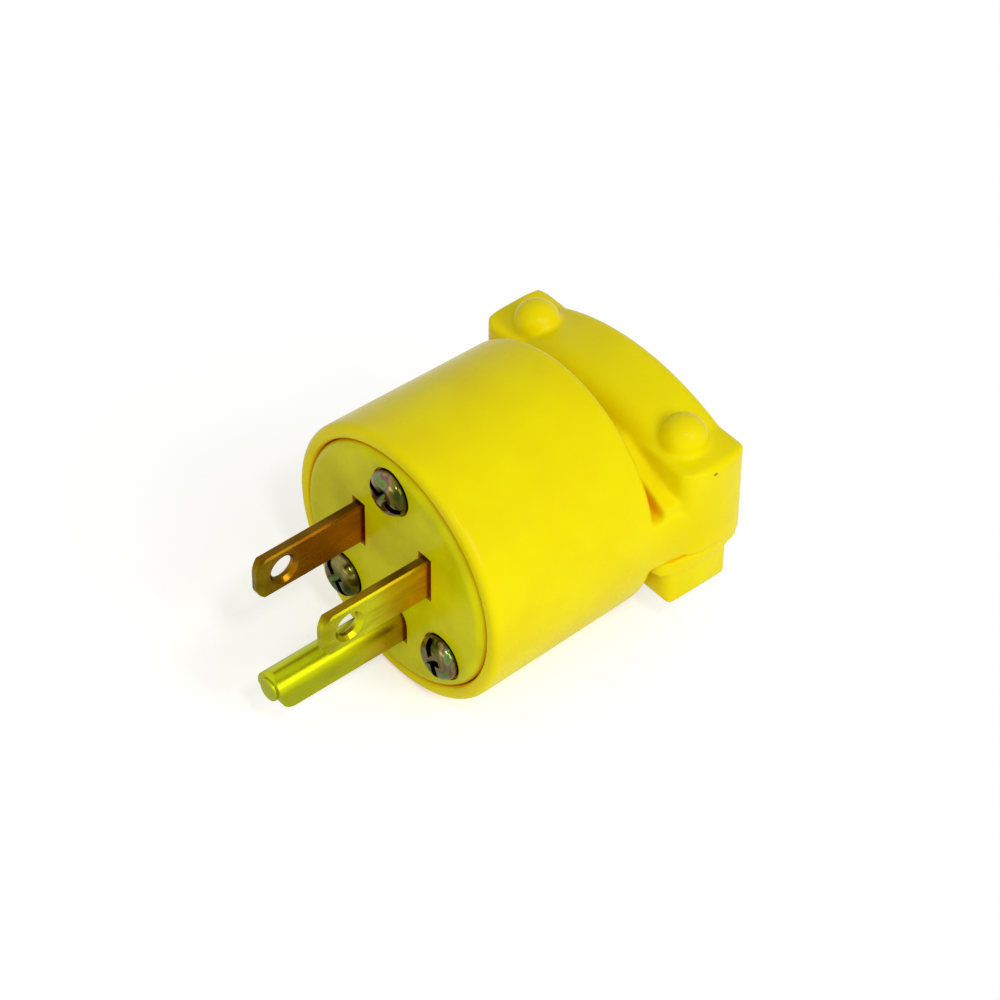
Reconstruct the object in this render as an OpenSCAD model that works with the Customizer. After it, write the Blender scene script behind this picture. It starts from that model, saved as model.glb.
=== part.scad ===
// Rewireable grounding power plug with a two-screw cord clamp.
// Origin: centre of the mating face, on the plug's axis. Blades point to -Y, the cord leaves to +Y,
// and the two flat blades stand above the ground pin (+Z up).

/* [Body] */
// Diameter of the body at the mating face
body_front_d = 38.4; // [37.4:0.1:40]
// Diameter of the body at its rear edge
body_rear_d = 37.2; // [36.8:0.1:39]
// Length of the round body, from the mating face to its rear edge
body_len = 27.3; // [26.5:0.1:30]
// How far the body's rim lies behind the mating face
rim_set = 0.5; // [0.2:0.1:0.9]
// Rounding of the body's front rim, on the outside
front_round = 1; // [0.7:0.1:1.2]
// Rounding of the body's front rim, on the inside
rim_round = 0.5; // [0.3:0.1:0.6]
// Rounding of the body's rear edge
rear_round = 1.2; // [0.6:0.1:1.8]
// Thickness of the wall between the wiring space and the cord passage
rear_wall = 3.4; // [2.6:0.1:4]

/* [Face and terminal block] */
// Width of the body's rim round the face plate
rim_w = 2.05; // [1.95:0.05:2.4]
// Thickness of the face plate
face_t = 4.2; // [3.6:0.1:4.8]
// Rounding of the face plate's rim
face_round = 1.4; // [1:0.1:1.8]
// Length of the terminal block behind the face plate
block_len = 12; // [11.5:0.1:13]
// Gap all round between parts that slide into each other
fit_gap = 0.12; // [0.08:0.01:0.2]
// Clearance round each blade in its slot
slot_gap = 0.45; // [0.2:0.05:0.6]
// Width of the shoulder that keeps a blade behind the face plate
shoulder_w = 8.6; // [8:0.1:9]

/* [Blades] */
// Distance between the centrelines of the two blades
blade_pitch = 12.7; // [12.4:0.1:13]
// Width of a blade
blade_w = 6.2; // [6:0.05:6.6]
// Thickness of a blade
blade_t = 1.52; // [1.3:0.02:1.7]
// Length of a blade in front of the mating face
blade_len = 16.4; // [16:0.1:18.2]
// Distance from the mating face to the hole in a blade
blade_hole_y = 12.3; // [11.5:0.1:12.6]
// Diameter of the hole in a blade
blade_hole_d = 3.4; // [3:0.1:3.8]
// Countersink round the hole, added to its radius on both sides
blade_sink = 0.55; // [0.3:0.05:0.7]
// Corner rounding at a blade's tip
blade_corner = 1.9; // [1:0.1:2.2]
// Bevel along a blade's tip and long edges
blade_bevel = 0.35; // [0.2:0.05:0.5]
// Height of the blades' centreline above the plug's axis
blade_rise = 3.15; // [2.8:0.05:3.5]

/* [Ground pin] */
// Outside width and height of the U-section ground pin
pin_d = 4.7; // [4.6:0.02:4.9]
// Sheet thickness of the ground pin
pin_wall = 1; // [0.8:0.05:1.2]
// Length of the ground pin in front of the mating face
pin_len = 19.8; // [19.5:0.1:21.5]
// Distance from the blades' centreline down to the ground pin's centre
pin_drop = 11.9; // [11.7:0.05:12.1]
// Diameter of the round button at the ground pin's end
button_d = 3.2; // [2.8:0.1:3.4]
// How far the button stands in front of the ground pin's legs
button_out = 0.35; // [0.2:0.05:0.6]
// Rounding of the ground pin's end below, on its legs
leg_round = 2.3; // [1.6:0.1:2.4]
// Width of the ground contact's flat tail
tail_w = 6.5; // [6:0.1:7]

/* [Face screws] */
// Distance of the top screw in from the body's bore
top_screw_in = 4.4; // [4.1:0.1:4.6]
// Distance of the two lower screws in from the body's bore
low_screw_in = 4.5; // [4.2:0.1:4.8]
// Angle from the top screw to each lower screw
low_screw_angle = 131.5; // [129:0.5:133]
// Shank diameter of the face screws
face_screw_d = 3.5; // [3.2:0.1:3.8]
// Head diameter of the face screws
face_head_d = 6.2; // [5.8:0.1:6.4]
// Head height of the face screws
face_head_h = 2.1; // [1.6:0.1:2.4]
// Length of the face screws under the head
face_screw_len = 12; // [11:0.5:13]
// Depth of the seat that sinks a head into the face
head_seat = 0.5; // [0.3:0.1:0.8]

/* [Terminals] */
// Shank diameter of the wire binding screws
term_screw_d = 3.5; // [3.2:0.1:3.8]
// Head diameter of the wire binding screws
term_head_d = 6.4; // [6:0.1:6.6]
// Head height of the wire binding screws
term_head_h = 2; // [1.8:0.1:2.4]
// Space between a contact and its pressure plate, where the wire goes
wire_gap = 2; // [1.6:0.1:2.2]
// Thickness of a pressure plate
plate_t = 1; // [0.8:0.1:1.2]
// Distance of the binding screws behind the mating face
term_y = 9.2; // [9:0.1:9.6]
// Diameter of the holes that lead the wires into the terminal block
wire_hole_d = 2.8; // [2.4:0.1:3]
// Distance of the wire holes from the binding screw's axis
wire_spread = 2.5; // [2.3:0.1:2.7]
// Room beside a binding screw's head in its pocket
pocket_room = 0.9; // [0.6:0.1:1.1]
// How far a binding screw's end stands past its contact
term_tip = 0.6; // [0.4:0.1:0.8]

/* [Threaded inserts] */
// Outside diameter of the inserts for the face screws
face_insert_d = 5.4; // [5:0.1:5.6]
// Length of the inserts for the face screws
face_insert_len = 7; // [6:0.5:8]
// Outside diameter of the inserts for the clamp screws
clamp_insert_d = 6.4; // [6:0.1:6.8]
// Length of the inserts for the clamp screws
clamp_insert_len = 8; // [7:0.5:9]
// Wall of plastic round an insert
insert_wall = 1.1; // [0.9:0.1:1.2]
// Room for a screw's end at the bottom of its hole
tip_room = 0.8; // [0.5:0.1:1.2]

/* [Cord clamp] */
// Distance from the body's rear edge to the front face of the upper clamp half
clamp_setback = 3.7; // [3.2:0.1:4.4]
// Length of the upper clamp half along the cord
clamp_len = 10.4; // [9.6:0.1:11.4]
// Width of the clamp
clamp_w = 37.8; // [37:0.1:38.6]
// How far the clamp's sides bulge out between their corners
side_bulge = 1.25; // [0.8:0.05:1.6]
// Height of the clamp ears above the plug's axis
ear_z = 9.9; // [9.4:0.1:10.6]
// Width of the arch between the ears
arch_w = 29.6; // [28.5:0.1:31]
// Rise of the arch above the ears
arch_rise = 3.4; // [2.8:0.1:4]
// Depth of the joint between the clamp halves below the plug's axis
seam_drop = 4; // [3.6:0.1:4.4]
// Height above the axis up to which the neck is as round as the body
flank_z = 3.6; // [3:0.1:4.2]
// Distance from the body's rear edge to the front of the neck rib
groove_w = 1.3; // [1:0.1:1.6]
// Depth of the groove between the body and the neck rib
groove_depth = 2.6; // [2:0.1:3]
// Height of the neck rib's sloping top at the clamp's sides
rib_side_z = 5.1; // [4.8:0.1:5.6]
// Half the width of the level part of the neck rib's top
rib_flat = 8.3; // [7:0.1:9.5]
// Rounding along the sides of the ears' tops
ear_round = 1.2; // [0.6:0.1:1.6]
// Rounding along the front of the ears' tops
ear_front_round = 0.8; // [0.5:0.1:1.2]
// Rounding along the front of the arch
arch_front_round = 3.1; // [2:0.1:3.3]
// Rounding along the rear of the upper clamp half's top
top_round = 1.6; // [0.8:0.1:2]
// Rounding of the clamp's upright corners
corner_round = 2.2; // [1.4:0.1:2.8]
// Rounding of the edges along the joint of the clamp halves
joint_round = 0.5; // [0.3:0.1:0.8]
// How far the neck rib's sides lie inside the clamp's
rib_inset = 0.5; // [0.3:0.1:0.8]
// Diameter of the cord passage
cord_d = 12.5; // [11:0.1:13.5]

/* [Clamp jaw] */
// Thickness of the jaw's flange
flange_t = 2; // [1.6:0.1:2.8]
// Height of the whole jaw
jaw_h = 7.8; // [7:0.1:8.6]
// Length of the jaw's block along the cord
jaw_len = 10.5; // [10:0.1:11]
// Rounding of the jaw's lower edges
jaw_round = 2.2; // [1.4:0.1:2.6]
// Height of the gripping ridges across the cord
grip_h = 0.7; // [0.5:0.1:0.9]
// Width of a gripping ridge
grip_w = 1; // [0.8:0.1:1.3]
// Distance from the clamp screws to the front of the jaw's block
jaw_front = 6.5; // [6:0.1:7]
// How far the jaw's sides lie inside the upper clamp half's
jaw_inset = 0.5; // [0.3:0.05:0.8]
// How far the jaw's block stands in from the edge of its flange
block_inset = 0.15; // [0.1:0.05:0.6]
// Gap between the round body and the jaw's flange
flange_gap = 0.35; // [0.2:0.05:0.6]
// How far the jaw's flange stands out behind the upper clamp half
flange_reach = 0.4; // [0.2:0.1:0.8]

/* [Clamp screws] */
// Distance of the clamp screws in from the clamp's sides
clamp_screw_in = 6.2; // [5.9:0.05:6.5]
// Shank diameter of the clamp screws
clamp_screw_d = 4.1; // [3.8:0.1:4.3]
// Head diameter of the clamp screws
clamp_head_d = 6.8; // [6.4:0.1:7.2]
// Head height of the clamp screws
clamp_head_h = 2.2; // [2:0.1:2.6]
// Distance from the upper clamp half's front face to the clamp screws
clamp_screw_y = 4.4; // [4.2:0.1:5]
// Length of the clamp screws under the head
clamp_screw_len = 18; // [17:0.5:19]
// Radius of the domes that cap the clamp screws
dome_r = 3.1; // [2.9:0.1:3.4]
// Height of the straight wall under each dome
dome_base = 0.8; // [0.4:0.1:1.2]

/* [Hidden] */
// Facets of a full round
$fn = 96;
// Overlap used where solids join or cuts run past a face
eps = 0.5;
// Colours
pvc = [0.93, 0.86, 0.04];
face_pvc = [0.78, 0.75, 0.05];
core_plastic = [0.86, 0.85, 0.8];
brass = [0.78, 0.66, 0.2];
zinc = [0.62, 0.6, 0.38];
nickel = [0.75, 0.75, 0.73];
green = [0.2, 0.5, 0.3];

// Inner radius of the body, and the diameter of the face plate and the terminal block inside it
bore_r = body_front_d / 2 - rim_w;
face_d = 2 * (bore_r - fit_gap);
// End of the wiring space, and of the terminal block
cavity_end = body_len - rear_wall;
block_end = face_t + block_len;
// Room left round a screw in a threaded hole, and in a clearance hole
thread_gap = 0.05;
hole_gap = 0.25;

// Blades and ground pin; their shoulders start just behind the face plate
shoulder_y = face_t + thread_gap;
shoulder_t = 1.6;
blade_x = blade_pitch / 2;
pin_r = pin_d / 2;
pin_z = blade_rise - pin_drop;
// How far each contact reaches past its binding screw
contact_tail = 3.6;
contact_end = term_y + contact_tail;
// Height of a binding screw's head above its contact
plate_seat = wire_gap + plate_t;
// A pressure plate's margin round the screw's head, and the pocket that takes both
plate_margin = 0.3;
plate_w = term_head_d + 2 * plate_margin;
pocket_w = term_head_d + 2 * pocket_room;
pocket_len = plate_w + 4 * fit_gap;
// Depth of the funnels that lead the wires in
funnel = 0.8;

// Ground pin: rounding of its nose above, and how far the nose narrows at its front
nose_round = 0.7;
nose_inset = 0.45;
button_round = 0.25;

// Pillars for the face screws, and the webs that tie them to the body
pillar_r = face_insert_d / 2 + insert_wall;
web_w = 5;
// Ribs that stop the terminal block: how far they stand in from the wall, and their width
stop_h = 2;
stop_w = 2;
top_screw_r = bore_r - top_screw_in;
low_screw_r = bore_r - low_screw_in;
low_screw_angles = [90 - low_screw_angle, 90 + low_screw_angle];

// Cord clamp
clamp_y0 = body_len + clamp_setback;
clamp_y1 = clamp_y0 + clamp_len;
clamp_y = clamp_y0 + clamp_screw_y;
clamp_reach = clamp_w / 2 + side_bulge;
clamp_x = clamp_reach - clamp_screw_in;
seam_z = -seam_drop;
rear_r = body_rear_d / 2;
cord_r = cord_d / 2;
// How far the arch's front and rear stand back from the ears'
arch_set = 0.1;
clamp_bore_len = clamp_screw_len - jaw_h + tip_room;
rib_y0 = body_len + groove_w;
rib_x = clamp_w / 2 - rib_inset;
rib_top = ear_z - rib_inset / 2;
arch_r = (arch_w * arch_w / 4 + arch_rise * arch_rise) / (2 * arch_rise);

// Clamp jaw: its flange starts just behind the body, its block lies under the clamp screws
jaw_w = clamp_w - 2 * jaw_inset;
jaw_reach = jaw_w / 2 + side_bulge;
block_reach = jaw_reach - block_inset;
jaw_bottom = seam_z - jaw_h;
jaw_y0 = clamp_y - jaw_front;
jaw_y1 = jaw_y0 + jaw_len;
flange_y0 = body_len + flange_gap;
flange_y1 = clamp_y1 + flange_reach;
grip_count = 4;

// ---- Helpers ----

// Turns a shape that stands on +Z so that it points along +Y, starting at y
module along_y(y) {
  translate([0, y, 0]) rotate([-90, 0, 0]) children();
}

// Solid of revolution about the plug's axis, from a half section drawn as (radius, y)
module turned() {
  rotate([-90, 0, 0]) rotate_extrude() children();
}

// Extrudes an outline drawn as (x, z) from y0 to y1
module across(y0, y1) {
  translate([0, y1, 0]) rotate([90, 0, 0]) linear_extrude(y1 - y0) children();
}

// Extrudes an outline drawn as (y, z) over a thickness t centred on x
module sideways(x, t) {
  translate([x - t / 2, 0, 0]) rotate([90, 0, 90]) linear_extrude(t) children();
}

// What a convex corner at the origin loses when it is rounded; sx and sy point out of the corner
module corner_loss(r, sx, sy) {
  translate([-sx * r, -sy * r]) difference() {
    translate([sx > 0 ? 0 : -r - eps, sy > 0 ? 0 : -r - eps]) square(r + eps);
    circle(r);
  }
}

// Rectangle with its lower left corner at p, and rounded corners
module soft_rect(p, size, r) {
  translate(p) difference() {
    square(size);
    corner_loss_at([0, 0], r, -1, -1);
    corner_loss_at([size[0], 0], r, 1, -1);
    corner_loss_at([0, size[1]], r, -1, 1);
    corner_loss_at([size[0], size[1]], r, 1, 1);
  }
}

module corner_loss_at(p, r, sx, sy) {
  translate(p) corner_loss(r, sx, sy);
}

// Places a shape that points along +Y at a radius r and an angle a round the plug's axis
module at_polar(r, a) {
  translate([r * cos(a), 0, r * sin(a)]) children();
}

// ---- Housing ----

// Radius of the tapering body at y
function body_r(y) = (body_front_d + (body_rear_d - body_front_d) * y / body_len) / 2;

// Half section of the cup: outer wall, bore, rear wall, and rounded edges
module body_section() {
  difference() {
    polygon([[0, rim_set], [body_r(rim_set), rim_set], [body_r(body_len), body_len], [0, body_len]]);
    translate([0, rim_set - eps]) square([bore_r, cavity_end - rim_set + eps]);
    corner_loss_at([body_r(rim_set + front_round), rim_set], front_round, 1, -1);
    corner_loss_at([body_r(body_len - rear_round), body_len], rear_round, 1, 1);
    corner_loss_at([bore_r, rim_set], rim_round, -1, -1);
  }
}

// The round part of the neck below its rib: it widens from the body to the clamp's sides
module round_flank() {
  y0 = body_len - rear_round;
  length = clamp_y0 + corner_round - y0;
  intersection() {
    along_y(y0) cylinder(r1 = rear_r, r2 = clamp_w / 2 + side_bulge / 2, h = length);
    translate([-body_rear_d, y0, seam_z]) cube([2 * body_rear_d, length, flank_z - seam_z]);
  }
}

// Neck rib with its sloping top; inset makes it smaller all round
module rib_outline(inset) {
  side = rib_x - inset;
  polygon([[-side, 0], [side, 0], [side, rib_side_z - inset], [rib_flat, rib_top - inset],
    [-rib_flat, rib_top - inset], [-side, rib_side_z - inset]]);
}

// Block of the two ears, from side to side and from the joint up to their level tops
module ear_block() {
  intersection() {
    across(clamp_y0, clamp_y1) difference() {
      translate([-clamp_reach, seam_z]) square([2 * clamp_reach, ear_z - seam_z]);
      for (side = [-1, 1]) {
        corner_loss_at([side * clamp_reach, ear_z], ear_round, side, 1);
        corner_loss_at([side * clamp_reach, seam_z], joint_round, side, -1);
      }
    }
    sideways(0, 2 * clamp_reach) difference() {
      translate([clamp_y0, seam_z]) square([clamp_len, ear_z - seam_z]);
      corner_loss_at([clamp_y0, ear_z], ear_front_round, -1, 1);
      corner_loss_at([clamp_y1, ear_z], top_round, 1, 1);
      corner_loss_at([clamp_y1, seam_z], joint_round, 1, -1);
    }
  }
}

// Arch between the ears, a slice of a round disc on an axis along the cord
module arch() {
  y0 = clamp_y0 + arch_set;
  y1 = clamp_y1 - arch_set;
  half = arch_w / 2 + top_round;
  intersection() {
    translate([0, 0, ear_z + arch_rise - arch_r]) turned() difference() {
      translate([0, y0]) square([arch_r, y1 - y0]);
      corner_loss_at([arch_r, y0], arch_front_round, 1, -1);
      corner_loss_at([arch_r, y1], top_round, 1, 1);
    }
    translate([-half, y0 - eps, ear_z - 3 * top_round])
      cube([2 * half, y1 - y0 + 2 * eps, arch_rise + 4 * top_round]);
  }
}

// Radius of an arc whose middle stands s out from a chord of length c
function bulge_r(c, s) = (c * c / 4 + s * s) / (2 * s);
// The leg of a right triangle with hypotenuse c and other leg b
function leg(c, b) = sqrt(c * c - b * b);

// A clamp half seen from above: its corners are w apart, its sides bulge out between them
module bulged_plan(w, y0, y1) {
  reach = w / 2 + side_bulge;
  r = bulge_r(y1 - y0, side_bulge);
  half = (y1 - y0) / 2;
  cy = half - corner_round;
  cx = reach - r + leg(r - corner_round, cy);
  translate([0, y0 + half]) difference() {
    union() {
      translate([-w / 4, -half]) square([w / 2, 2 * half]);
      for (side = [-1, 1]) intersection() {
        translate([side * (reach - r), 0]) circle(r);
        translate([side * reach / 2 - reach / 2, -half]) square([reach, 2 * half]);
      }
    }
    for (sx = [-1, 1], sy = [-1, 1])
      translate([sx * cx, sy * cy]) bulged_corner_loss(asin(cy / (r - corner_round)), sx, sy);
  }
}

// What a corner of that plan loses; the side's arc ends at angle a of the rounding's circle
module bulged_corner_loss(a, sx, sy) {
  far = corner_round + eps;
  difference() {
    polygon([[0, 0], [0, sy * far], [sx * (far + eps), sy * far], [sx * far * cos(a), sy * far * sin(a)]]);
    circle(corner_round);
  }
}

module upper_clamp() {
  intersection() {
    union() {
      ear_block();
      arch();
    }
    translate([0, 0, seam_z]) linear_extrude(ear_z + arch_rise - seam_z + eps)
      bulged_plan(clamp_w, clamp_y0, clamp_y1);
  }
  across(rib_y0, clamp_y0 + eps) rib_outline(0);
  across(body_len - eps, rib_y0 + eps) rib_outline(groove_depth);
  round_flank();
}

// Dome over the end of a clamp screw
module dome() {
  translate([0, 0, ear_z - eps]) rotate_extrude() {
    square([dome_r, dome_base + eps]);
    intersection() {
      translate([0, dome_base + eps]) circle(dome_r);
      translate([0, dome_base + eps]) square(dome_r + eps);
    }
  }
}

// Pillar for a face screw, tied to the body's wall by a web; g makes it larger all round
module pillar(a, r, g = 0) {
  length = cavity_end - face_t + eps;
  at_polar(r, a) along_y(face_t - g) cylinder(r = pillar_r + g, h = length + g);
  rotate([0, -a, 0]) translate([r, face_t - g, -web_w / 2 - g])
    cube([bore_r - r + eps, length + g, web_w + 2 * g]);
}

module pillars(g = 0) {
  pillar(90, top_screw_r, g);
  for (a = low_screw_angles) pillar(a, low_screw_r, g);
}

// Ribs on the body's wall that stop the terminal block
module block_stops() {
  for (a = [30, 150, 270])
    rotate([0, -a, 0]) translate([bore_r - stop_h, block_end, -stop_w / 2])
      cube([stop_h + eps, cavity_end - block_end + eps, stop_w]);
}

// Everything bored along a face screw's axis
module face_screw_bore() {
  along_y(face_t - eps) cylinder(d = face_insert_d + 2 * thread_gap, h = face_insert_len + eps);
  along_y(face_t)
    cylinder(d = face_screw_d + 2 * hole_gap, h = head_seat + face_screw_len + tip_room - face_t);
}

// Everything bored along a clamp screw's axis, from the joint up
module clamp_screw_bore() {
  translate([0, 0, seam_z - eps])
    cylinder(d = clamp_insert_d + 2 * thread_gap, h = clamp_insert_len + eps);
  translate([0, 0, seam_z]) cylinder(d = clamp_screw_d + 2 * hole_gap, h = clamp_bore_len);
}

// Cord passage, from the wiring space out between the clamp halves
module cord_passage() {
  along_y(cavity_end - eps) cylinder(r = cord_r, h = flange_y1 - cavity_end + 2 * eps);
}

module housing() {
  color(pvc) difference() {
    union() {
      turned() body_section();
      upper_clamp();
      for (side = [-1, 1]) translate([side * clamp_x, clamp_y, 0]) dome();
      pillars();
      block_stops();
    }
    cord_passage();
    at_polar(top_screw_r, 90) face_screw_bore();
    for (a = low_screw_angles) at_polar(low_screw_r, a) face_screw_bore();
    for (side = [-1, 1]) translate([side * clamp_x, clamp_y, 0]) clamp_screw_bore();
  }
}

// ---- Clamp jaw ----

// Outline of the jaw's block, w wide, with rounded lower corners
module jaw_outline(w) {
  difference() {
    square([w, jaw_h - eps]);
    corner_loss(jaw_round, -1, -1);
    corner_loss_at([w, 0], jaw_round, 1, -1);
  }
}

// Thin plate along the joint, longer than the jaw's block, with all its edges rounded
module jaw_flange() {
  bottom = seam_z - flange_t;
  intersection() {
    across(flange_y0, flange_y1)
      soft_rect([-jaw_reach, bottom], [2 * jaw_reach, flange_t], joint_round);
    sideways(0, 2 * jaw_reach)
      soft_rect([flange_y0, bottom], [flange_y1 - flange_y0, flange_t], joint_round);
    translate([0, 0, bottom]) linear_extrude(flange_t) bulged_plan(jaw_w, flange_y0, flange_y1);
  }
}

module jaw_solid() {
  jaw_flange();
  intersection() {
    across(jaw_y0, jaw_y1) translate([-block_reach, jaw_bottom]) jaw_outline(2 * block_reach);
    sideways(0, 2 * block_reach) translate([jaw_y0, jaw_bottom]) jaw_outline(jaw_len);
    translate([0, 0, jaw_bottom]) linear_extrude(jaw_h) intersection() {
      bulged_plan(jaw_w - 2 * block_inset, flange_y0, flange_y1);
      soft_rect([-block_reach, jaw_y0], [2 * block_reach, jaw_len], corner_round);
    }
  }
}

// Trough with ridges across the cord; the ridges' tips lie on the passage's own radius
module jaw_trough() {
  pitch = (flange_y1 - flange_y0 - grip_w) / grip_count;
  along_y(flange_y0 - eps) cylinder(r = cord_r, h = flange_y1 - flange_y0 + 2 * eps);
  for (i = [0 : grip_count - 1])
    along_y(flange_y0 + grip_w + pitch * i) cylinder(r = cord_r + grip_h, h = pitch - grip_w);
}

module clamp_jaw() {
  color(pvc) difference() {
    jaw_solid();
    jaw_trough();
    for (side = [-1, 1]) translate([side * clamp_x, clamp_y, jaw_bottom - eps])
      cylinder(d = clamp_screw_d + 2 * hole_gap, h = jaw_h + 2 * eps);
  }
}

// ---- Face plate ----

// Outline of the ground pin's U section, grown by g and open or closed below
module pin_outline(g) {
  translate([0, pin_z]) {
    circle(pin_r + g);
    translate([-pin_r - g, -pin_r - g]) square([pin_d + 2 * g, pin_r + g]);
  }
}

module face_section() {
  difference() {
    square([face_d / 2, face_t]);
    corner_loss_at([face_d / 2, 0], face_round, 1, -1);
  }
}

// Clearance hole and sunk seat for a face screw
module face_screw_hole() {
  along_y(-eps) cylinder(d = face_screw_d + 2 * hole_gap, h = face_t + 2 * eps);
  along_y(-eps) cylinder(d = face_head_d + 2 * hole_gap, h = head_seat + eps);
}

module face_plate() {
  color(face_pvc) difference() {
    turned() face_section();
    across(-eps, face_t + eps) {
      for (side = [-1, 1])
        translate([side * blade_x - blade_t / 2 - slot_gap, blade_rise - blade_w / 2 - slot_gap])
          square([blade_t + 2 * slot_gap, blade_w + 2 * slot_gap]);
      pin_outline(slot_gap);
    }
    at_polar(top_screw_r, 90) face_screw_hole();
    for (a = low_screw_angles) at_polar(low_screw_r, a) face_screw_hole();
  }
}

// ---- Contacts ----

// Blade seen from the side, with rounded corners at the tip and a shoulder behind the face plate
module blade_side() {
  difference() {
    translate([-blade_len, blade_rise - blade_w / 2]) square([blade_len + contact_end, blade_w]);
    corner_loss_at([-blade_len, blade_rise - blade_w / 2], blade_corner, -1, -1);
    corner_loss_at([-blade_len, blade_rise + blade_w / 2], blade_corner, -1, 1);
  }
  translate([shoulder_y, blade_rise - shoulder_w / 2]) square([shoulder_t, shoulder_w]);
}

// Blade seen from the front: a strip with bevelled long edges; the shoulder is wider
module blade_front(w, b) {
  h = blade_t / 2;
  translate([0, blade_rise]) polygon([[-h + b, -w / 2], [h - b, -w / 2], [h, -w / 2 + b],
    [h, w / 2 - b], [h - b, w / 2], [-h + b, w / 2], [-h, w / 2 - b], [-h, -w / 2 + b]]);
}

// Blade seen from above: its tip is thinned by a long bevel
module blade_plan() {
  h = blade_t / 2;
  polygon([[-h + blade_bevel, -blade_len], [h - blade_bevel, -blade_len], [h, -blade_len + 3 * blade_bevel],
    [h, contact_end + eps], [-h, contact_end + eps], [-h, -blade_len + 3 * blade_bevel]]);
}

// Flat blade centred on x = 0
module blade_strip() {
  intersection() {
    sideways(0, blade_t) blade_side();
    union() {
      across(-blade_len, contact_end) blade_front(blade_w, blade_bevel * 0.7);
      across(shoulder_y, shoulder_y + shoulder_t) blade_front(shoulder_w, 0.1);
    }
    translate([0, 0, blade_rise - shoulder_w]) linear_extrude(2 * shoulder_w) blade_plan();
  }
}

// Hole through the tip, countersunk from both sides
module tip_hole() {
  translate([0, -blade_hole_y, blade_rise]) rotate([0, 90, 0]) {
    cylinder(d = blade_hole_d, h = 2 * blade_t, center = true);
    for (side = [0, 180]) rotate([side, 0, 0])
      translate([0, 0, blade_t / 2 - blade_sink])
        cylinder(r1 = blade_hole_d / 2 - blade_sink * 0.1, r2 = blade_hole_d / 2 + blade_sink * 1.1,
          h = blade_sink * 1.2);
  }
}

// Each contact's own frame: the origin is on its outer face, at the binding screw, and +Z points out
module at_blade_contact(side) {
  translate([side * (blade_x + blade_t / 2), term_y, blade_rise]) rotate([0, side * 90, 0]) children();
}

module at_ground_contact() {
  translate([0, term_y, pin_z + pin_r - pin_wall]) rotate([0, 180, 0]) children();
}

// Hole for a binding screw through a contact of thickness t
module threaded_hole(t) {
  translate([0, 0, -t - eps]) cylinder(d = term_screw_d + 2 * thread_gap, h = t + 2 * eps);
}

module blade(side) {
  color(brass) difference() {
    translate([side * blade_x, 0, 0]) difference() {
      blade_strip();
      tip_hole();
    }
    at_blade_contact(side) threaded_hole(blade_t);
  }
}

module hot_blade() {
  blade(1);
}

module neutral_blade() {
  blade(-1);
}

// Section of the folded sheet: round above, two straight legs, open below
module pin_sheet() {
  inner = pin_r - pin_wall;
  difference() {
    pin_outline(0);
    translate([0, pin_z]) circle(inner);
    translate([-inner, pin_z - pin_r - eps]) square([2 * inner, pin_r + eps]);
  }
}

// The nose seen from the side and from above, with its rounded corners
module nose_side() {
  length = pin_len + contact_end;
  translate([-pin_len + button_out, pin_z - pin_r]) difference() {
    square([length, pin_d]);
    corner_loss(leg_round, -1, -1);
    corner_loss_at([0, pin_d], nose_round, -1, 1);
  }
}

// Turned-down end of the sheet: a round button between the legs
module pin_button() {
  translate([0, -pin_len, pin_z]) rotate([-90, 0, 0]) rotate_extrude() difference() {
    square([button_d / 2, button_out + pin_wall]);
    corner_loss_at([button_d / 2, 0], button_round, 1, -1);
  }
}

// Flat tail of the ground contact, wider than the pin so that it can't pull out
module pin_tail() {
  translate([-tail_w / 2, shoulder_y, pin_z + pin_r - pin_wall])
    cube([tail_w, contact_end - shoulder_y, pin_wall]);
}

// Nose of the sheet, closing the U at its front and narrowing forwards
module pin_nose() {
  intersection() {
    across(-pin_len + button_out, -pin_len + button_out + pin_wall) pin_outline(0);
    sideways(0, 2 * pin_d) nose_side();
    translate([0, -pin_len + button_out, pin_z]) rotate([-90, 0, 0])
      cylinder(r1 = pin_r - nose_inset, r2 = 2 * pin_r, h = pin_r + nose_inset);
  }
}

module ground_pin() {
  color(brass) difference() {
    union() {
      intersection() {
        across(-pin_len, shoulder_y + eps) pin_sheet();
        sideways(0, 2 * pin_d) nose_side();
      }
      pin_nose();
      pin_button();
      pin_tail();
    }
    at_ground_contact() threaded_hole(pin_wall);
  }
}

// ---- Terminal block ----

// What a contact of thickness t needs round its screw: a pocket open to the side, room for the
// screw's tip, and two funnelled holes from the rear for the wire
module terminal_pocket(t) {
  tip = term_tip + tip_room;
  translate([-pocket_w / 2, -pocket_len / 2, 0]) cube([pocket_w, pocket_len, face_d]);
  translate([0, 0, -t - tip]) cylinder(d = term_screw_d + 2 * hole_gap, h = t + tip + eps);
  for (side = [-1, 1])
    translate([side * wire_spread, 0, wire_gap / 2]) rotate([-90, 0, 0]) {
      cylinder(d = wire_hole_d, h = block_end - term_y + eps);
      translate([0, 0, block_end - term_y - funnel])
        cylinder(d1 = wire_hole_d, d2 = wire_hole_d + funnel + eps, h = funnel + eps);
    }
}

// Slot for a blade and its shoulder
module blade_slot(side) {
  w = blade_w + 2 * fit_gap;
  t = blade_t + 2 * fit_gap;
  sw = shoulder_w + 2 * fit_gap;
  translate([side * blade_x - t / 2, face_t - eps, blade_rise - w / 2])
    cube([t, contact_end - face_t + eps + fit_gap, w]);
  translate([side * blade_x - t / 2, face_t - eps, blade_rise - sw / 2])
    cube([t, shoulder_y - face_t + shoulder_t + eps + fit_gap, sw]);
}

// Slot for the ground pin's section and its tail
module ground_slot() {
  w = tail_w + 2 * fit_gap;
  across(face_t - eps, term_y) pin_outline(fit_gap);
  translate([-w / 2, face_t - eps, pin_z + pin_r - pin_wall - fit_gap])
    cube([w, contact_end - face_t + eps + fit_gap, pin_wall + 2 * fit_gap]);
}

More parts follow.
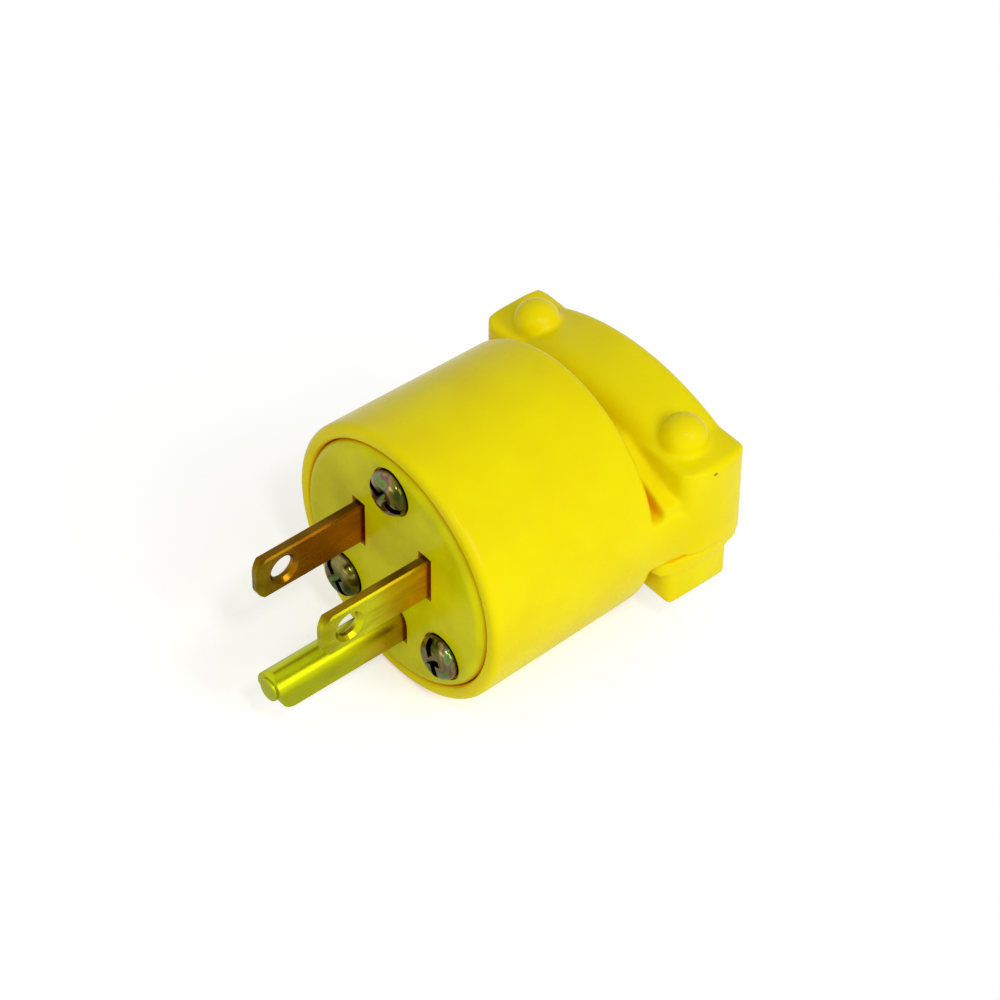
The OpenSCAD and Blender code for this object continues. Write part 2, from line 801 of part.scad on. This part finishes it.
module terminal_block() {
  color(core_plastic) difference() {
    along_y(face_t) cylinder(d = face_d, h = block_len);
    pillars(fit_gap);
    for (side = [-1, 1]) {
      blade_slot(side);
      at_blade_contact(side) terminal_pocket(blade_t);
    }
    ground_slot();
    at_ground_contact() terminal_pocket(pin_wall);
  }
}

// ---- Screws, pressure plates and inserts ----

// Pan head standing on z = 0, with its top edge rounded
module pan_head(d, h) {
  rotate_extrude() difference() {
    square([d / 2, h]);
    corner_loss_at([d / 2, h], 0.72 * h, 1, 1);
  }
}

// Cross recess, narrowing downwards, in a head whose top is at z = 0
module cross_recess(d) {
  arm = 0.16 * d;
  depth = 0.24 * d;
  intersection() {
    union() {
      cube([d, arm, 2 * depth], center = true);
      cube([arm, d, 2 * depth], center = true);
    }
    translate([0, 0, -depth]) cylinder(r1 = 0.1 * d, r2 = 0.29 * d, h = depth + eps);
  }
}

// Slot right across a head whose top is at z = 0
module slot_recess(d, depth) {
  translate([-d, -0.08 * d, -depth]) cube([2 * d, 0.16 * d, d]);
}

// Screw with its head above z = 0 and its shank below, its end chamfered; it has a slot of the
// given depth, a cross recess, or both
module screw(d, length, head_d, head_h, slot = 0, cross = true) {
  chamfer = 0.4;
  difference() {
    union() {
      pan_head(head_d, head_h);
      translate([0, 0, chamfer - length]) cylinder(d = d, h = length);
      translate([0, 0, -length]) cylinder(d1 = d - 2 * chamfer, d2 = d, h = chamfer);
    }
    translate([0, 0, head_h]) {
      if (slot > 0) slot_recess(head_d, slot);
      if (cross) cross_recess(head_d);
    }
  }
}

// Face screws differ in how far their recess is turned
module face_screw(r, a, turn) {
  color(zinc) at_polar(r, a) translate([0, head_seat, 0]) rotate([90, turn, 0])
    screw(face_screw_d, face_screw_len, face_head_d, face_head_h, slot = 0.45 * face_head_h);
}

module face_screw_top() {
  face_screw(top_screw_r, 90, 20);
}

module face_screw_left() {
  face_screw(low_screw_r, low_screw_angles[1], 52);
}

module face_screw_right() {
  face_screw(low_screw_r, low_screw_angles[0], 70);
}

// Tube with a groove between its two knurled bands, standing on z = 0
module insert(outer_d, bore_d, length) {
  groove = 0.35;
  rotate_extrude() difference() {
    translate([bore_d / 2, 0]) square([(outer_d - bore_d) / 2, length]);
    translate([outer_d / 2 - groove, 0.4 * length]) square([outer_d, 0.2 * length]);
  }
}

module face_insert(r, a) {
  color(brass) at_polar(r, a) along_y(face_t)
    insert(face_insert_d, face_screw_d + 2 * thread_gap, face_insert_len);
}

module face_insert_top() {
  face_insert(top_screw_r, 90);
}

module face_insert_left() {
  face_insert(low_screw_r, low_screw_angles[1]);
}

module face_insert_right() {
  face_insert(low_screw_r, low_screw_angles[0]);
}

// Binding screw on a contact of thickness t
module binding_screw(t) {
  translate([0, 0, plate_seat])
    screw(term_screw_d, plate_seat + t + term_tip, term_head_d, term_head_h,
      slot = 0.7 * term_head_h, cross = false);
}

module hot_terminal_screw() {
  color(brass) at_blade_contact(1) binding_screw(blade_t);
}

module neutral_terminal_screw() {
  color(nickel) at_blade_contact(-1) binding_screw(blade_t);
}

module ground_terminal_screw() {
  color(green) at_ground_contact() binding_screw(pin_wall);
}

// Square plate under a binding screw's head
module pressure_plate() {
  difference() {
    translate([-plate_w / 2, -plate_w / 2, wire_gap]) cube([plate_w, plate_w, plate_t]);
    cylinder(d = term_screw_d + 2 * hole_gap, h = 2 * plate_seat);
  }
}

module hot_pressure_plate() {
  color(brass) at_blade_contact(1) pressure_plate();
}

module neutral_pressure_plate() {
  color(nickel) at_blade_contact(-1) pressure_plate();
}

module ground_pressure_plate() {
  color(brass) at_ground_contact() pressure_plate();
}

module clamp_screw(side) {
  color(zinc) translate([side * clamp_x, clamp_y, jaw_bottom]) rotate([180, 0, 0])
    screw(clamp_screw_d, clamp_screw_len, clamp_head_d, clamp_head_h);
}

module clamp_screw_left() {
  clamp_screw(-1);
}

module clamp_screw_right() {
  clamp_screw(1);
}

module clamp_insert(side) {
  color(brass) translate([side * clamp_x, clamp_y, seam_z])
    insert(clamp_insert_d, clamp_screw_d + 2 * thread_gap, clamp_insert_len);
}

module clamp_insert_left() {
  clamp_insert(-1);
}

module clamp_insert_right() {
  clamp_insert(1);
}

housing();
clamp_jaw();
face_plate();
terminal_block();
hot_blade();
neutral_blade();
ground_pin();
hot_terminal_screw();
neutral_terminal_screw();
ground_terminal_screw();
hot_pressure_plate();
neutral_pressure_plate();
ground_pressure_plate();
face_screw_top();
face_screw_left();
face_screw_right();
face_insert_top();
face_insert_left();
face_insert_right();
clamp_screw_left();
clamp_screw_right();
clamp_insert_left();
clamp_insert_right();
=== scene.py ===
"""Finishes, light and view of a straight-blade grounding plug with a cord clamp.

Lengths are metres in the part's own frame: the mating face's centre is the origin, the blades point to -Y,
the cord leaves along +Y and +Z is up.
"""

import bmesh
import bpy
from mathutils import Matrix, Vector


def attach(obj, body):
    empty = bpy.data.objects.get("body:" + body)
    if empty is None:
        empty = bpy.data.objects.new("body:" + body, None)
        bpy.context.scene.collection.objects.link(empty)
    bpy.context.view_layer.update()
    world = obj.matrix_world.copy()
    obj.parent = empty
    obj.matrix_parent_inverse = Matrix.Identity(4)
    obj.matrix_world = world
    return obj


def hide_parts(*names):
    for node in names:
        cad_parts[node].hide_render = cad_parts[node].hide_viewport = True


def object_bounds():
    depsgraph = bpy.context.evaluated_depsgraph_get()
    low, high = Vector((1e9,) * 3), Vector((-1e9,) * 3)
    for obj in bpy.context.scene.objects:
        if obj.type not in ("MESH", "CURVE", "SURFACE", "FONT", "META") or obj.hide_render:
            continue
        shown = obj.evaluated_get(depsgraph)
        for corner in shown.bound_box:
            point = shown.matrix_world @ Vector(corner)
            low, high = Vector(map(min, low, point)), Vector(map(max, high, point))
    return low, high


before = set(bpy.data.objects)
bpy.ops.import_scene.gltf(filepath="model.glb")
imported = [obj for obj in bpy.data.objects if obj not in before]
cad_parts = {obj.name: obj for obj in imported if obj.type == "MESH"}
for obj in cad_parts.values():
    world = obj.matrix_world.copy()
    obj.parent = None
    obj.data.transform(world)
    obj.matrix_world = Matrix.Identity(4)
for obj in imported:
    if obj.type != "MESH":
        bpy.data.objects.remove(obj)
cad_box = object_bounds()

MM = 0.001


def linear(hex_colour):
    """sRGB hex to linear RGBA.

    Each channel c is c / 12.92 up to 0.04045, and ((c + 0.055) / 1.055) ** 2.4 above.
    """
    channels = [int(hex_colour[i : i + 2], 16) / 255 for i in (1, 3, 5)]
    return [c / 12.92 if c <= 0.04045 else ((c + 0.055) / 1.055) ** 2.4 for c in channels] + [1.0]


def per_mm(size):
    """Texture scale at which one feature of the pattern is that many millimetres."""
    return 1 / (size * MM)


def add(tree, kind, fields=None, **sockets):
    """Adds a node. fields are its own settings; sockets are its inputs, with _ for a space in the name.

    A name such as i6 is the input's number. A socket given an output is linked to it, and any other value
    is set on it.
    """
    made = tree.nodes.new(kind)
    for name, value in (fields or {}).items():
        setattr(made, name, value)
    for name, value in sockets.items():
        key = int(name[1:]) if name[0] == "i" and name[1:].isdigit() else name.replace("_", " ")
        if isinstance(value, bpy.types.NodeSocket):
            tree.links.new(value, made.inputs[key])
        else:
            made.inputs[key].default_value = value
    return made


def new_material(name):
    """An empty node material with its output node, as (material, tree, output)."""
    made = bpy.data.materials.new(name)
    made.use_nodes = True
    made.node_tree.nodes.clear()
    return made, made.node_tree, add(made.node_tree, "ShaderNodeOutputMaterial")


def ramp(tree, factor, stops):
    """A colour ramp from (place, hex) stops."""
    made = add(tree, "ShaderNodeValToRGB", Fac=factor)
    points = made.color_ramp.elements
    while len(points) < len(stops):
        points.new(0.5)
    for point, (place, colour) in zip(points, stops):
        point.position, point.color = place, linear(colour)
    return made.outputs["Color"]


def blend(tree, factor, a, b, how="MIX"):
    """Mixes two colours by a factor."""
    made = add(tree, "ShaderNodeMix", {"data_type": "RGBA", "blend_type": how}, i0=factor, i6=a, i7=b)
    return made.outputs[2]


def between(tree, value, low, high, at_low=0.0, at_high=1.0):
    """A value taken evenly from low..high to at_low..at_high."""
    made = add(
        tree,
        "ShaderNodeMapRange",
        Value=value,
        From_Min=low,
        From_Max=high,
        To_Min=at_low,
        To_Max=at_high,
    )
    return made.outputs["Result"]


def roughness(tree, noise, smooth, rough):
    """Roughness from smooth to rough, over the values that a noise mostly has."""
    return between(tree, noise.outputs["Fac"], 0.3, 0.7, smooth, rough)


def painted_shade_amount(tree, reach, open_at, shut_at):
    """Where shade is painted: 1 deep in a recess and 0 on open ground, from how much lies within reach."""
    near = add(tree, "ShaderNodeAmbientOcclusion", {"samples": 8, "only_local": False}, Distance=reach)
    return ramp(tree, near.outputs["AO"], [(shut_at, "#FFFFFF"), (open_at, "#000000")])


# ---- finishes

PVC_FLOW = 9  # mm across a flow mark, from the mould filling
PVC_SKIN = 0.45  # mm, the mould's fine skin texture
PVC_SCUFF = 2.4  # mm, rubbed patches
PVC_SKIN_DEPTH = 0.02 * MM
# how far painted shade reaches out of joints and grooves
PVC_PAINTED_SHADE_REACH = 2.2 * MM
PVC_RUBBED = 0.12  # how much rougher a rubbed patch is than the rest


def soft_pvc(name, body, shade, painted_warm_shade, gloss, marks=()):
    """Moulded flexible PVC: even colour with slow flow marks, a satin skin and faint handling scuffs, and
    painted shade, a warm orange, in its joints and grooves.

    Each mark is an oval speck or scratch, as (centre, half sizes, turn about Z, colour), in millimetres and
    radians. gloss is the roughness away from the scuffs.
    """
    made, tree, out = new_material(name)
    place = add(tree, "ShaderNodeTexCoord").outputs["Object"]
    flow = add(tree, "ShaderNodeTexNoise", Vector=place, Scale=per_mm(PVC_FLOW), Detail=2.0, Roughness=0.5)
    tint = ramp(tree, flow.outputs["Fac"], [(0.35, shade), (0.62, body)])
    # painted shade: joints and grooves are painted a warmer orange, as light bounced between yellow walls
    # would make them
    colour = blend(tree, painted_shade_amount(tree, PVC_PAINTED_SHADE_REACH, 0.75, 0.2), tint, linear(painted_warm_shade))
    for centre, half, turn_z, stain in marks:
        oval = add(
            tree,
            "ShaderNodeMapping",
            {"vector_type": "TEXTURE"},
            Vector=place,
            Location=[v * MM for v in centre],
            Rotation=(0.0, 0.0, turn_z),
            Scale=[v * MM for v in half],
        )
        far = add(tree, "ShaderNodeVectorMath", {"operation": "LENGTH"}, i0=oval.outputs["Vector"])
        spot = between(tree, far.outputs["Value"], 0.4, 1.0, 1.0, 0.0)
        colour = blend(tree, spot, colour, linear(stain))
    skin = add(tree, "ShaderNodeTexNoise", Vector=place, Scale=per_mm(PVC_SKIN), Detail=3.0)
    scuff = add(tree, "ShaderNodeTexNoise", Vector=place, Scale=per_mm(PVC_SCUFF), Detail=6.0, Roughness=0.62)
    bump = add(tree, "ShaderNodeBump", Strength=0.25, Distance=PVC_SKIN_DEPTH, Height=skin.outputs["Fac"])
    shader = add(
        tree,
        "ShaderNodeBsdfPrincipled",
        Base_Color=colour,
        Roughness=roughness(tree, scuff, gloss, gloss + PVC_RUBBED),
        IOR=1.53,
        Specular_IOR_Level=0.07,
        Normal=bump.outputs["Normal"],
    )
    tree.links.new(shader.outputs["BSDF"], out.inputs["Surface"])
    return made


BRASS_CLOUD = 5  # mm, uneven edge of the tarnish
BRASS_CLOUD_SHIFT = 6 * MM  # the most that the cloud adds to Y
BRASS_TIP_TO = -13 * MM  # the tip's colour ends here, in Y with the cloud added
BRASS_ROOT_FROM = 2 * MM  # and the root's is full from here
BRASS_STAIN = 1.6  # mm
BRASS_STAIN_DRAWN = (1.0, 0.3, 1.0)  # a stain is longer along the strip
BRASS_STAIN_DEPTH = 0.01 * MM
BRASS_CLEAN, BRASS_STAINED = 0.24, 0.36  # roughness


def rolled_brass(name, tip, middle, root, painted_edge_reflection, patina=0.5):
    """Rolled and stamped brass with a thin tarnish and painted reflection.

    Satin broad sides turn browner toward the root, partly tarnish and partly a painted reflection of the
    shaded face;
    the narrow edges that face up or down carry a painted dark reflection, and soft marks run along the strip.
    patina is how much the marks dull the colour.
    """
    made, tree, out = new_material(name)
    coords = add(tree, "ShaderNodeTexCoord")
    place = coords.outputs["Object"]
    split = add(tree, "ShaderNodeSeparateXYZ", Vector=place)
    cloud = add(tree, "ShaderNodeTexNoise", Vector=place, Scale=per_mm(BRASS_CLOUD), Detail=3.0)
    shift = add(
        tree,
        "ShaderNodeMath",
        {"operation": "MULTIPLY_ADD"},
        i0=cloud.outputs["Fac"],
        i1=BRASS_CLOUD_SHIFT,
        i2=split.outputs["Y"],
    )
    # painted reflection and tarnish: browner toward the root, where the shaded face would be mirrored
    along = between(tree, shift.outputs[0], BRASS_TIP_TO, BRASS_ROOT_FROM)
    tint = ramp(tree, along, [(0.0, tip), (0.45, middle), (1.0, root)])
    # painted dark reflection on the narrow edges, those that face up or down
    facing = add(tree, "ShaderNodeSeparateXYZ", Vector=coords.outputs["Normal"])
    level = add(tree, "ShaderNodeMath", {"operation": "ABSOLUTE"}, i0=facing.outputs["Z"])
    tint = blend(tree, between(tree, level.outputs[0], 0.5, 0.9), tint, linear(painted_edge_reflection))
    lines = add(tree, "ShaderNodeMapping", Vector=place, Scale=BRASS_STAIN_DRAWN)
    stain = add(
        tree, "ShaderNodeTexNoise", Vector=lines.outputs["Vector"], Scale=per_mm(BRASS_STAIN), Detail=4.0
    )
    dull = ramp(tree, stain.outputs["Fac"], [(0.42, "#FFFFFF"), (0.7, "#A4A488")])
    tint = blend(tree, patina, tint, dull, "MULTIPLY")
    bump = add(tree, "ShaderNodeBump", Strength=0.1, Distance=BRASS_STAIN_DEPTH, Height=stain.outputs["Fac"])
    shader = add(
        tree,
        "ShaderNodeBsdfPrincipled",
        Base_Color=tint,
        Metallic=1.0,
        Roughness=roughness(tree, stain, BRASS_CLEAN, BRASS_STAINED),
        Normal=bump.outputs["Normal"],
    )
    tree.links.new(shader.outputs["BSDF"], out.inputs["Surface"])
    return made


FILM = 3.2  # mm across one colour of the film
FILM_DEPTH = 0.012 * MM
# how far painted shade reaches out of a recess
SCREW_PAINTED_SHADE_REACH = 1.4 * MM
PLATE_ROUGHNESS = 0.18


def plated_steel(name, stops, painted_recess_shade):
    """Steel with a thin bright coat, with painted shade in its recesses.

    On yellow-passivated zinc the film shifts between straw, green and rose, and the stops are its colours.
    """
    made, tree, out = new_material(name)
    place = add(tree, "ShaderNodeTexCoord").outputs["Object"]
    film = add(tree, "ShaderNodeTexNoise", Vector=place, Scale=per_mm(FILM), Detail=1.5, Distortion=0.2)
    tint = ramp(tree, film.outputs["Fac"], stops)
    # painted shade: recesses take the last colour, a dark one
    tint = blend(tree, painted_shade_amount(tree, SCREW_PAINTED_SHADE_REACH, 0.85, 0.3), tint, linear(painted_recess_shade))
    bump = add(tree, "ShaderNodeBump", Strength=0.15, Distance=FILM_DEPTH, Height=film.outputs["Fac"])
    shader = add(
        tree,
        "ShaderNodeBsdfPrincipled",
        Base_Color=tint,
        Metallic=1.0,
        Roughness=PLATE_ROUGHNESS,
        Normal=bump.outputs["Normal"],
    )
    tree.links.new(shader.outputs["BSDF"], out.inputs["Surface"])
    return made


MINERAL = 0.5  # mm


def thermoset(name):
    """Compression-moulded thermoset: matt, pale, with a fine mineral speckle."""
    made, tree, out = new_material(name)
    place = add(tree, "ShaderNodeTexCoord").outputs["Object"]
    speck = add(tree, "ShaderNodeTexNoise", Vector=place, Scale=per_mm(MINERAL), Detail=4.0)
    tint = ramp(tree, speck.outputs["Fac"], [(0.4, "#C9C5B4"), (0.6, "#DCD9CC")])
    shader = add(tree, "ShaderNodeBsdfPrincipled", Base_Color=tint, Roughness=0.62, IOR=1.6)
    tree.links.new(shader.outputs["BSDF"], out.inputs["Surface"])
    return made


# a dirt speck on the right ear's side, and a light scratch beside the right dome
SPECK = ((20.15, 35.2, 8.8), (0.4, 0.4, 0.3), 0.0, "#8E8000")
SCRATCH = ((10.7, 32.7, 9.9), (1.6, 0.16, 0.3), -0.2, "#CDBB00")
# the third colour of each plastic is painted warm shade for its joints and grooves
YELLOW_PVC = soft_pvc("yellow_pvc", "#F9E900", "#F5E100", "#FFC400", 0.19, (SPECK, SCRATCH))
FACE_PVC = soft_pvc("face_pvc", "#E6E200", "#D2CD00", "#E8A400", 0.2)
# each brass runs tip, middle and root colours, then the narrow edges' colour; root and edge colours hold
# painted reflection as well as tarnish
BRASS = rolled_brass("rolled_brass", "#C9B83A", "#BF9A36", "#A87A2A", "#A08830")
COPPERY_BRASS = rolled_brass("coppery_brass", "#8C7408", "#9E600C", "#C4740E", "#6E4C0A")
OLIVE_BRASS = rolled_brass("olive_brass", "#B8B60E", "#D8DC12", "#E4A810", "#84680A")
PIN_BRASS = rolled_brass("pin_brass", "#C2CA12", "#C4CA0E", "#C09A0C", "#B4BC10", 0.25)
ZINC_FILM = [
    (0.3, "#3A4012"),
    (0.42, "#625C26"),
    (0.5, "#8A8048"),
    (0.56, "#7A5058"),
    (0.62, "#6E8A48"),
    (0.72, "#4A4818"),
]
# the last colour of each plated steel is painted shade for its recesses
ZINC = plated_steel("yellow_zinc", ZINC_FILM, "#1A1404")
NICKEL = plated_steel("nickel_plate", [(0.3, "#A9A79F"), (0.7, "#C4C2BA")], "#5A5850")
GREEN = plated_steel("green_lacquer_steel", [(0.3, "#3E7A4C"), (0.7, "#4F9160")], "#1C3A24")
CORE = thermoset("thermoset")

FINISH = {
    "housing": YELLOW_PVC,
    "clamp_jaw": YELLOW_PVC,
    "face_plate": FACE_PVC,
    "terminal_block": CORE,
    "neutral_blade": COPPERY_BRASS,
    "hot_blade": OLIVE_BRASS,
    "ground_pin": PIN_BRASS,
    "neutral_terminal_screw": NICKEL,
    "neutral_pressure_plate": NICKEL,
    "ground_terminal_screw": GREEN,
}


def finish_with(piece, material):
    """Leaves the piece with this one material."""
    piece.data.materials.clear()
    piece.data.materials.append(material)


for name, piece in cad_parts.items():
    rest = ZINC if name.startswith(("face_screw", "clamp_screw")) else BRASS
    finish_with(piece, FINISH.get(name, rest))

# ---- softened shells


def softened(name, node, voxel, rounds, most):
    """A copy of a moulded shell with soft edges.

    Its surface is that of the CAD solid filled with cubes of side voxel. Then each vertex is moved halfway
    towards the mean of its neighbours, rounds times, which rounds an edge over a few voxels. most is its
    number of triangles.
    """
    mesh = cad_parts[node].data.copy()
    work = bmesh.new()
    work.from_mesh(mesh)
    bmesh.ops.remove_doubles(work, verts=work.verts, dist=0.001 * MM)
    work.to_mesh(mesh)
    work.free()
    piece = bpy.data.objects.new(name, mesh)
    bpy.context.scene.collection.objects.link(piece)
    cubes = piece.modifiers.new("cubes", "REMESH")
    cubes.mode, cubes.voxel_size, cubes.use_smooth_shade = "VOXEL", voxel, True
    even = piece.modifiers.new("even", "SMOOTH")
    even.factor, even.iterations = 0.5, rounds
    count = len(piece.evaluated_get(bpy.context.evaluated_depsgraph_get()).data.loop_triangles)
    thin = piece.modifiers.new("thin", "DECIMATE")
    thin.ratio = min(1.0, most / max(count, 1))
    shaped = bpy.data.meshes.new_from_object(piece.evaluated_get(bpy.context.evaluated_depsgraph_get()))
    piece.modifiers.clear()
    piece.data = shaped
    finish_with(piece, YELLOW_PVC)
    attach(piece, "root")
    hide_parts(node)


softened("body_and_upper_clamp", "housing", voxel=0.28 * MM, rounds=6, most=190_000)
softened("lower_clamp_jaw", "clamp_jaw", voxel=0.25 * MM, rounds=8, most=90_000)

# ---- floor, light and view


def larger(tree, a, b):
    """The larger of two values."""
    return add(tree, "ShaderNodeMath", {"operation": "MAXIMUM"}, i0=a, i1=b).outputs[0]


def times(tree, a, b):
    """One value times another."""
    return add(tree, "ShaderNodeMath", {"operation": "MULTIPLY"}, i0=a, i1=b).outputs[0]


def seen_white(tree, path):
    """1 for the rays that show the background: the camera's, and those that metal and glass send on."""
    sharp = larger(tree, path.outputs["Is Glossy Ray"], path.outputs["Is Transmission Ray"])
    return larger(tree, sharp, path.outputs["Is Camera Ray"])


FLOOR_HALF = 0.4
FADE_FROM, FADE_TO = 0.03, 0.075  # distance from the origin over which the floor turns to plain white
FLOOR_LIFT = 0.45  # keeps the shadow light in the camera's view, and adds no light to the part
floor_mesh = bpy.data.meshes.new("floor")
floor_z = cad_box[0].z
floor_corners = [(x * FLOOR_HALF, y * FLOOR_HALF, floor_z) for x, y in ((-1, -1), (1, -1), (1, 1), (-1, 1))]
floor_mesh.from_pydata(floor_corners, [], [(0, 1, 2, 3)])
floor = bpy.data.objects.new("floor", floor_mesh)
bpy.context.scene.collection.objects.link(floor)
paper, tree, out = new_material("paper_floor")
matt = add(tree, "ShaderNodeBsdfDiffuse", Color=linear("#F4F4F2"))
white = add(tree, "ShaderNodeEmission", Color=(1, 1, 1, 1), Strength=1.0)
place = add(tree, "ShaderNodeTexCoord").outputs["Object"]
reach = add(tree, "ShaderNodeVectorMath", {"operation": "LENGTH"}, i0=place)
fade = add(
    tree,
    "ShaderNodeMapRange",
    {"interpolation_type": "SMOOTHSTEP"},
    Value=reach.outputs["Value"],
    From_Min=FADE_FROM,
    From_Max=FADE_TO,
)
path = add(tree, "ShaderNodeLightPath")
seen = times(tree, fade.outputs["Result"], seen_white(tree, path))
lift = times(tree, path.outputs["Is Camera Ray"], FLOOR_LIFT)
glow = add(tree, "ShaderNodeEmission", Color=(1, 1, 1, 1), Strength=lift)
near = add(tree, "ShaderNodeAddShader", i0=matt.outputs[0], i1=glow.outputs[0])
mixed = add(tree, "ShaderNodeMixShader", i0=seen, i1=near.outputs[0], i2=white.outputs[0])
tree.links.new(mixed.outputs[0], out.inputs["Surface"])
floor_mesh.materials.append(paper)


LAMP_AIM = Vector((0.0, 0.014, 0.0))  # inside the body


def softbox(name, place, size, power):
    """A rectangular area light at a place, with its (width, height) and its power in watts."""
    data = bpy.data.lights.new(name, "AREA")
    data.shape, data.energy = "RECTANGLE", power
    data.size, data.size_y = size
    lamp = bpy.data.objects.new(name, data)
    lamp.location = place
    lamp.rotation_mode = "QUATERNION"
    lamp.rotation_quaternion = (LAMP_AIM - Vector(place)).to_track_quat("-Z", "Y")
    bpy.context.scene.collection.objects.link(lamp)


softbox("key_right", (0.414, 0.064, 0.278), (0.22, 0.22), 0.9)
softbox("small_top_right", (0.277, -0.121, 0.394), (0.05, 0.05), 0.34)
softbox("front_fill", (0.10, -0.44, 0.21), (0.24, 0.16), 0.22)

ROOM_LIGHT = 0.42  # light of the white room on the part, below the 1 at which it is seen
world = bpy.data.worlds.new("studio")
bpy.context.scene.world = world
world.use_nodes = True
tree = world.node_tree
tree.nodes.clear()
out = add(tree, "ShaderNodeOutputWorld")
path = add(tree, "ShaderNodeLightPath")
soft = add(tree, "ShaderNodeBackground", Color=(1, 1, 1, 1), Strength=ROOM_LIGHT)
white = add(tree, "ShaderNodeBackground", Color=(1, 1, 1, 1), Strength=1.0)
mixed = add(tree, "ShaderNodeMixShader", i0=seen_white(tree, path), i1=soft.outputs[0], i2=white.outputs[0])
tree.links.new(mixed.outputs[0], out.inputs["Surface"])

# the camera stands half a metre off and looks down at 44 degrees, from 49 degrees round from the blades
CAMERA_PLACE = Vector((276.016, -221.370, 353.631)) * MM
CAMERA_RIGHT = Vector((0.648446, 0.761218, 0.008058))
CAMERA_UP = Vector((-0.533035, 0.446459, 0.718712))
CAMERA_BACK = Vector((0.543499, -0.470341, 0.695261))
CAMERA_LENS, CAMERA_SENSOR = 146.127, 36.0  # mm
camera_data = bpy.data.cameras.new("camera")
camera_data.lens, camera_data.sensor_width = CAMERA_LENS, CAMERA_SENSOR
camera_data.sensor_fit = "HORIZONTAL"
camera_data.clip_start, camera_data.clip_end = 0.01, 10.0
camera = bpy.data.objects.new("camera", camera_data)
bpy.context.scene.collection.objects.link(camera)
turn = Matrix((CAMERA_RIGHT, CAMERA_UP, CAMERA_BACK)).transposed()
camera.matrix_world = Matrix.Translation(CAMERA_PLACE) @ turn.to_4x4()
bpy.context.scene.camera = camera
bpy.context.scene.view_settings.view_transform = "Standard"
